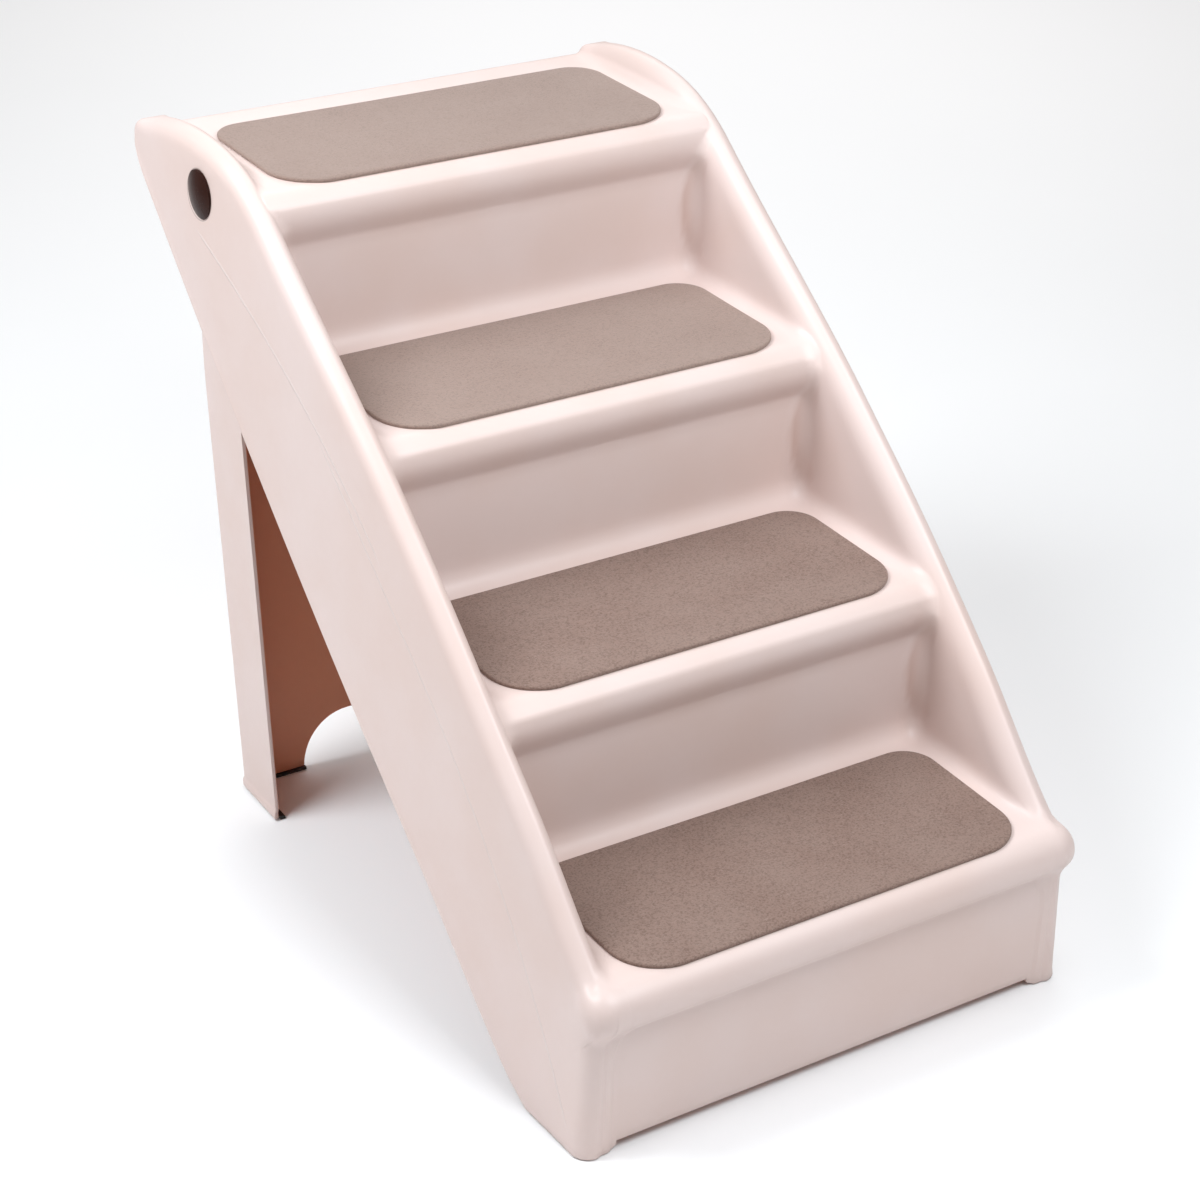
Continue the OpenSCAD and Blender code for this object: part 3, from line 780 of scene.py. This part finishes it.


# painted shade for the dark crease where a riser's end turns into the cheek, 0 to 1, laid on top of the
# corner's own fillet. Its line bows away from the cheek half way up, by the inset given in shell, and it
# fades fast toward the riser and slowly toward the cheek
def creaseShadeTone(x, y, z):
    tone = np.zeros(len(x))
    for k in (2, 3, 4):
        t = np.clip((z - treadZ(k - 1) - 14) / (shell["rise"] - 44), 0, 1)
        off = x - (shell["halfTread"] + 3 - shell["creaseShadeIn"] * np.sin(np.pi * t))
        across = np.exp(-(off / np.where(off < 0, 2.0, 6.0)) ** 2)
        near = np.abs(y - riserY(k)) < 16
        tone = np.maximum(tone, across * np.sin(np.pi * t) ** 0.7 * near)
    return tone


# the shell's wall, with the marks that its finish needs
def makeShell():
    half = shellGrid()
    inner = half - shell["wall"] * shellNormals(half)
    grid = mirror(half)
    pts, faces, marks = wallMesh(grid, mirror(inner), 0.45)
    obj = makePiece("stairShell", pts, faces, "stairs", shellPlastic,
                    flip=volume(pts, faces) < 0, marks=marks)
    mesh = obj.data
    co = np.empty(len(mesh.vertices) * 3)
    mesh.vertices.foreach_get("co", co)
    co = co.reshape(-1, 3) * 1000
    x, y, z = np.abs(co[:, 0]), co[:, 1] - backShift, co[:, 2]
    looks = {"CreaseShade": creaseShadeTone(x, y, z)}
    for name in bead:
        gap, fromEnd = beadGap(beadPath(name), np.c_[y, z])
        looks[name + "BeadGap"] = gap
        looks[name + "BeadShow"] = ease(fromEnd, 0, 14) * ease(x, 187.0, 191.0)
    for name, values in looks.items():
        layer = mesh.attributes.new(name, "FLOAT", "POINT")
        layer.data.foreach_set("value", values.astype(np.float32))
    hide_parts("stair_shell")
    print("scene: shell grid", *grid.shape[:2])


makeShell()


hinge = {"y": 541.5, "z": 484.5, "seatX": 194.67, "legX": 189.17, "faceX": 190.27, "lean": 6.5, "back": 40.0}
inside = {
    "ribWidth": 2.5, "ribHeight": 14.0, "ribDepth": 86.0, "ribSpacing": 85.5, "ribSink": 1.5,
    "stopGap": 0.3, "stopWidth": 6.0, "stopLength": 18.0, "stopTop": -34.0,
    "stopReach": 11.0, "stopEnd": 197.8,
    "floorInner": 184.78, "floorEnd": 197.5, "floorY": (26.3, 46.3), "floorZ": (7.0, 10.0),
    "boreRadius": 5.1, "bossRadius": 14.0, "bossFillet": 2.0, "bossEdge": 0.6, "bossEnd": 196.9,
}


# a plate: a side-view outline with n corners, carried across from x0 to x1
def plate(outline, x0, x1):
    o = np.array(outline, float)
    n = len(o)
    pts = np.vstack([np.c_[np.full(n, x), o] for x in (x0, x1)])
    faces = [[i, (i + 1) % n, n + (i + 1) % n, n + i] for i in range(n)]
    return pts, faces + [list(range(n))[::-1], list(range(n, 2 * n))]


# one mesh from several lists of points and faces
def gather(parts):
    pts, faces, base = [], [], 0
    for p, f in parts:
        pts.append(p)
        faces += [[base + i for i in face] for face in f]
        base += len(p)
    return np.vstack(pts), faces


# a ring turned round an axis along x, from n copies of its profile of (x, radius) pairs
def turned(profile, y, z, n=72):
    q = np.array(profile, float)
    a = np.linspace(0, 2 * np.pi, n, endpoint=False)
    grid = np.stack([np.repeat(q[:, :1], n, 1), y + q[:, 1:] * np.cos(a), z + q[:, 1:] * np.sin(a)], -1)
    faces = gridFaces(len(q), n, closed=True)
    return grid.reshape(-1, 3), faces.tolist()


# an outline's four corners, from its lower front one round to its upper front one
def oblong(y0, y1, z0, z1):
    return [(y0, z0), (y1, z0), (y1, z1), (y0, z1)]


# a moulded detail inside the shell, all of it marked as hidden, so that its finish paints all of it with the
# painted shade of inner faces
def makeDetail(name, parts, smooth):
    pts, faces = gather(parts)
    obj = makePiece(name, pts, faces, "stairs", partPlastic, smooth=smooth,
                    marks={"Hidden": np.ones(len(pts))})
    if not smooth:
        addBevel(obj, 0.5)


# three ribs under each tread, cut off along the slope at the rear
def makeRibs():
    ribs = []
    for k in range(1, shell["steps"] + 1):
        n, front = nose(k), riserY(k) + inside["ribSink"]
        low, high = treadZ(k) - shell["wall"] - inside["ribHeight"], treadZ(k) - inside["ribSink"]
        cut = inside["ribDepth"] - crestOff
        end = lambda z: n[0] + (cut + up[1] * (z - n[1])) / slope[1]
        outline = [(front, low), (end(low), low), (end(high), high), (front, high)]
        for x in (-inside["ribSpacing"], 0.0, inside["ribSpacing"]):
            ribs.append(plate(outline, x - inside["ribWidth"] / 2, x + inside["ribWidth"] / 2))
    makeDetail("treadRibs", ribs, False)


# the leg's two stops, leaning with it, and the floors in the front feet that carry the rubber blocks
def makeStops():
    lean = np.radians(hinge["lean"])
    turn = np.array([[np.cos(lean), np.sin(lean)], [-np.sin(lean), np.cos(lean)]])
    front, high = hinge["back"] + inside["stopGap"], inside["stopTop"]
    stop = oblong(front, front + inside["stopWidth"], high - inside["stopLength"], high)
    stop = np.array(stop) @ turn.T + [hinge["y"], hinge["z"]]
    footFloor = oblong(*inside["floorY"], *inside["floorZ"])
    fixed = []
    stopStart = hinge["legX"] - inside["stopReach"]
    for side in (-1, 1):
        fixed.append(plate(stop, *sorted((side * stopStart, side * inside["stopEnd"]))))
        fixed.append(plate(footFloor, *sorted((side * inside["floorInner"], side * inside["floorEnd"]))))
    makeDetail("stopsAndFootFloors", fixed, False)


# the thick rings round the hinge bolts, with a fillet to the wall
def makeBosses():
    x0, x1, r, f, e = (hinge["faceX"], inside["bossEnd"], inside["bossRadius"], inside["bossFillet"],
                       inside["bossEdge"])
    profile = [(x0, inside["boreRadius"]), (x0, r - e), (x0 + e, r), (x1 - f, r), (x1 - f / 2, r + f / 5),
               (x1, r + f)]
    rings = [turned([(side * a, b) for a, b in profile], hinge["y"], hinge["z"]) for side in (-1, 1)]
    makeDetail("hingeBosses", rings, True)


makeRibs()
makeStops()
makeBosses()
print("scene: ribs, stops and bosses made")


leg = {
    "spread": 4.4, "corner": 5.0, "footDepth": 58.0, "lobe": 21.5, "panelDrop": 34.0,
    "footWidth": 48.5, "archHeight": 42.0, "archRadius": 40.0, "lipOut": 1.5, "lipHeight": 8.0,
    "beadHeight": 4.5, "beadHalf": 1.3, "beadOut": 0.5, "wall": 3.0, "floor": 2.0,
}


# a channel section carried down a leaning line, the right half of it. Columns run from the middle of the
# rear panel round its corner to the flange's front edge, rows from the foot to the upper border
def legGrid():
    lean = np.radians(hinge["lean"])
    c, s = np.cos(lean), np.sin(lean)
    size = hinge["z"] / c + hinge["back"]
    r, w = leg["corner"], hinge["legX"]
    lobe, q = leg["lobe"], np.array([hinge["back"], -leg["panelDrop"]])
    tangent = np.arctan2(q[1], q[0]) + np.arccos(lobe / np.hypot(*q))
    meet = lobe * np.array([np.cos(tangent), np.sin(tangent)])
    # columns: rear panel, corner, flange
    archX = w - leg["footWidth"]
    xs = np.unique(np.round(np.r_[np.linspace(0, archX - leg["archRadius"], 6),
                                  archX - leg["archRadius"] * (1 - np.sin(np.linspace(0, np.pi / 2, 14))),
                                  np.linspace(archX, w - r, 8)], 4))
    a = np.linspace(0, np.pi / 2, 8)[1:]
    fromLobe = 10.0    # in front of the hinge's axis, where the columns start to follow the lobe's round
    roundLobe = -lobe * np.sin(np.linspace(np.arcsin(fromLobe / lobe), np.pi / 2, 12)[1:])
    flange = np.r_[np.linspace(hinge["back"] - r, -fromLobe, 16)[1:], roundLobe]
    x = np.r_[xs, w - r + r * np.sin(a), np.full(len(flange), w)]
    y = np.r_[np.full(len(xs), hinge["back"]), hinge["back"] - r + r * np.cos(a), flange]
    nx = np.r_[np.zeros(len(xs)), np.sin(a), np.ones(len(flange))]
    ny = np.r_[np.ones(len(xs)), np.cos(a), np.zeros(len(flange))]
    share = np.clip((hinge["back"] - r - y) / (hinge["back"] - r + lobe), 0, 1)    # 1 at the front edge
    # upper border, in the leg's own upright frame
    onLine = q[1] + (y - q[0]) * (meet[1] - q[1]) / (meet[0] - q[0])
    top = np.where(y > meet[0], onLine, np.sqrt(np.maximum(lobe ** 2 - y ** 2, 0)))
    top = np.where(y >= hinge["back"] - 1e-6, -leg["panelDrop"], top)
    # lower border: the floor, or the arch between the feet
    gap = np.maximum(x - (archX - leg["archRadius"]), 0)
    arch = leg["archHeight"] - leg["archRadius"] + np.sqrt(np.maximum(leg["archRadius"] ** 2 - gap ** 2, 0))
    floor = np.where((x < archX - 1e-6) & ~np.isclose(x, archX, atol=0.01), arch, leg["floor"])
    v = np.r_[0, 0.35, 0.7, 1.1, 1.6, 2.2, 3.0, 4.0, 5.4, 7.0, 9.0, 12.0, 17.0] / 480
    v = np.r_[v, np.linspace(0.05, 0.90, 26), np.linspace(0.91, 1, 14)]
    # the front edge narrows toward the foot: y moves with height on the flange
    foot = hinge["back"] - leg["footDepth"]

    def place(zLeg):
        front = -lobe + np.clip(-zLeg, 0, None) / size * (foot + lobe)
        return y + share * (front + lobe)

    # height of the floor border in the leg's frame: world z = hinge z - y sin + z cos
    low = (floor - hinge["z"] + place(-size) * s) / c
    zLeg = low + v[:, None] * (top - low)
    yLeg = place(zLeg)
    world = hinge["z"] - yLeg * s + zLeg * c
    out = leg["lipOut"] * (1 - ease(world, leg["lipHeight"] - 2.5, leg["lipHeight"] + 1.0))
    # a fine raised thread that follows the arch
    archBead = leg["beadOut"] * np.exp(-((world - floor - leg["beadHeight"]) / leg["beadHalf"]) ** 2)
    archBead = archBead * (x < archX - 1e-6)

    # one face of the wall, shift outwards from the middle lines; the flanges spread toward the foot
    def skin(shift):
        xx = x + nx * shift + leg["spread"] * ease(x, w - 60, w) * ease(-zLeg, 30, 150)
        yOut = yLeg + ny * shift - share * np.maximum(shift, 0)
        yy = hinge["y"] + yOut * c + zLeg * s
        zz = hinge["z"] - yOut * s + zLeg * c
        zz[0] = floor
        return np.stack([xx, yy, zz], -1)

    return skin(out + archBead), skin(out * 0.5 - leg["wall"])


def makeLeg():
    outer, inner = legGrid()
    pts, faces, marks = wallMesh(mirror(outer), mirror(inner), 0.4)
    obj = makePiece("supportLeg", pts, faces, "leg", legPlastic,
                    flip=volume(pts, faces) < 0, marks=marks)
    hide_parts("support_leg")


makeLeg()
print("scene: leg made")


mat = {"halfWidth": 161.0, "depth": 134.0, "thickness": 3.0, "setback": 12.5,
       "frontRadius": 36.0, "rearRadius": 24.0, "edge": 1.1, "under": 0.05, "side": 0.9, "swell": 0.16}


# outline of a mat: straight sides and round corners, starting at the middle of its front edge
def matOutline(inset):
    w, d = mat["halfWidth"] - inset, mat["depth"] - 2 * inset
    f, r = mat["frontRadius"] - inset, mat["rearRadius"] - inset
    half = join(line((0, 0), (w - f, 0), 16), arc((w - f, f), f, -90, 0, 16), line((w, f), (w, d - r), 10),
                arc((w - r, d - r), r, 0, 90, 14), line((w - r, d), (0, d), 16))
    ring = np.vstack([half, half[-2:0:-1] * [-1, 1]])
    return ring + [0, inset]


# a pad: rings from the middle of the top out to the edge, round the edge, down its side and back
# under it. Its top swells and sinks a little, as glued felt does
def makeMat(k):
    e, t = mat["edge"], mat["thickness"]
    rings = []
    full = matOutline(0)
    middle = np.array([0, mat["depth"] / 2])
    core = matOutline(e)
    for s in np.r_[0.0, 0.06, np.linspace(0.14, 0.9, 14), 0.95, 0.98, 1.0]:
        ring = middle + s * (core - middle)
        rings.append(np.c_[ring, np.full(len(ring), t)])
    for a in np.radians([22, 45, 67, 90]):
        ring = matOutline(e * (1 - np.sin(a)))
        rings.append(np.c_[ring, np.full(len(ring), t - e * (1 - np.cos(a)))])
    rings.append(np.c_[full, np.full(len(full), mat["side"])])
    rings.append(np.c_[matOutline(0.35), np.full(len(full), mat["under"])])
    for s in (0.9, 0.5, 0.0):
        ring = middle + s * (core - middle)
        rings.append(np.c_[ring, np.full(len(ring), mat["under"])])
    grid = np.array(rings)
    x, y = grid[..., 0], grid[..., 1]
    swell = mat["swell"] * np.sin(x / 41 + 1.3 * k) * np.sin(y / 29 + 0.7 * k) - 0.10
    grid[..., 2] += swell * (grid[..., 2] > 1.0)
    # over the nosing the front edge follows the round
    beyond = np.clip(shell["noseRadius"] - (y + mat["setback"]), 0, 16)
    grid[..., 2] -= shell["noseRadius"] - np.sqrt(shell["noseRadius"] ** 2 - beyond ** 2)
    grid[..., 1] += (k - 1) * shell["run"] + mat["setback"]
    grid[..., 2] += treadZ(k)
    name = "treadMat%d" % k
    obj = makePiece(name, grid, gridFaces(*grid.shape[:2], closed=True), "stairs", feltFinish)
    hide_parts("tread_mat_%d" % k)


for k in range(1, shell["steps"] + 1):
    makeMat(k)
print("scene: mats made")


cap = {"radius": 18.0, "height": 8.4, "base": 5.3, "bore": 8.8, "around": 96}


# a dome of revolution on a short rounded rim
def makeCap(side, node):
    r, h, base, n = cap["radius"], cap["height"], cap["base"], cap["around"]
    x0 = hinge["seatX"]
    dome = (r ** 2 + (h - base) ** 2) / (2 * (h - base))
    rad = r * np.sin(np.linspace(0, np.pi / 2, 15))[::-1]
    rad[0] = r - 0.35
    top = x0 + h - dome + np.sqrt(dome ** 2 - rad ** 2)
    rim = [(x0, cap["bore"]), (x0, r - 0.3), (x0 + 0.3, r),
           (x0 + base - 0.7, r), (x0 + base - 0.25, r - 0.08)]
    profile = rim + list(zip(top, rad))
    profile[-1] = (profile[-1][0], 0.0)
    pts, faces = turned([(side * p, q) for p, q in profile], hinge["y"], hinge["z"], n)
    name = "hingeCap" + ("Left" if side < 0 else "Right")
    obj = makePiece(name, pts, faces + [list(range(n))], "stairs", capFinish)
    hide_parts(node)


makeCap(-1, "hinge_cap_left")
makeCap(1, "hinge_cap_right")
print("scene: caps made")


# the bolts, washers, nuts and rubber feet stay as they are in the frame, and get a finish
for node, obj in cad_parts.items():
    finish = steelFinish if node.startswith("hinge_") else rubberFinish if "foot_pad" in node else None
    if finish:
        for i in range(max(1, len(obj.material_slots))):
            if obj.material_slots:
                obj.material_slots[i].material = finish
            else:
                obj.data.materials.append(finish)


studio = {"floor": (0.93, 0.93, 0.935), "floorShade": (0.91605, 0.91605, 0.920975), "floorHalf": 6.0,
          "sky": (1.0, 0.97, 0.955, 1), "skyStrength": 0.38, "cool": (0.94, 1.0, 1.04)}
# each light's place, target, disk size and power; they are cool but for the rear one
lights = {
    "keyLight": ((-0.95, 0.30, 1.55), (0, 0, 0.3), 0.8, 20.5),
    "sideLight": ((-1.9, -0.3, 1.6), (0, 0, 0.3), 1.0, 4.0),
    "frontLight": ((0.10, -0.75, 1.10), (0, 0.05, 0.35), 0.6, 7.0),
    "highLight": ((0.10, -0.40, 1.30), (0, 0.10, 0.40), 0.6, 3.0),
    "rearLight": ((1.3, 1.9, 1.6), (1.25, 1.8, 0), 2.4, 22.0),
}
view = {"place": (-0.93076, -1.45154, 1.16565), "lens": 81.474,
        "azimuth": -32.78, "elevation": 28.99, "roll": 1.60}


def makeFloor():
    f = Finish("studioFloor")
    f.finish(Color=f.mix(f.noise(3.0, 2.0), studio["floor"], studio["floorShade"]),
             Roughness=0.9, Specular=0.2)
    n = 24
    a = np.linspace(-studio["floorHalf"], studio["floorHalf"], n)
    gx, gy = np.meshgrid(a, a)
    pts = np.stack([gx, gy, np.full_like(gx, -0.0005)], -1).reshape(-1, 3)    # just under the feet
    mesh = bpy.data.meshes.new("studioFloor")
    mesh.from_pydata(pts.tolist(), [], gridFaces(n, n).tolist())
    obj = bpy.data.objects.new("studioFloor", mesh)
    bpy.context.scene.collection.objects.link(obj)
    mesh.materials.append(f.material)


# an object's matrix from the directions of its own axes and its place
def aimed(right, top, back, place):
    m = np.eye(4)
    m[:3, 0], m[:3, 1], m[:3, 2], m[:3, 3] = right, top, back, place
    return Matrix(m.tolist())


def makeLight(name, place, target, size, power, color):
    lamp = bpy.data.lights.new(name, "AREA")
    lamp.shape = "DISK"
    lamp.size = size
    lamp.energy = power
    lamp.color = color
    obj = bpy.data.objects.new(name, lamp)
    bpy.context.scene.collection.objects.link(obj)
    back = np.array(place) - np.array(target)
    back = back / np.linalg.norm(back)
    right = np.cross((0, 0, 1), back)
    right = right / np.linalg.norm(right)
    obj.matrix_world = aimed(right, np.cross(back, right), back, place)


def makeCamera():
    cam = bpy.data.cameras.new("photoView")
    cam.sensor_width = 36
    cam.lens = view["lens"]
    cam.clip_start, cam.clip_end = 0.05, 50
    obj = bpy.data.objects.new("photoView", cam)
    bpy.context.scene.collection.objects.link(obj)
    a, e, r = np.radians([view["azimuth"], view["elevation"], view["roll"]])
    back = np.array([np.sin(a) * np.cos(e), -np.cos(a) * np.cos(e), np.sin(e)])
    right = np.array([np.cos(a), np.sin(a), 0])
    top = np.cross(back, right)
    obj.matrix_world = aimed(np.cos(r) * right + np.sin(r) * top, np.cos(r) * top - np.sin(r) * right,
                             back, view["place"])
    bpy.context.scene.camera = obj


def makeSky():
    world = bpy.data.worlds.new("studioSky")
    world.use_nodes = True
    background = world.node_tree.nodes["Background"]
    background.inputs["Color"].default_value = studio["sky"]
    background.inputs["Strength"].default_value = studio["skyStrength"]
    bpy.context.scene.world = world


makeSky()
makeFloor()
for name, (place, target, size, power) in lights.items():
    makeLight(name, place, target, size, power, (1, 1, 1) if name == "rearLight" else studio["cool"])
makeCamera()
bpy.context.scene.view_settings.view_transform = "Standard"
print("scene: studio ready")
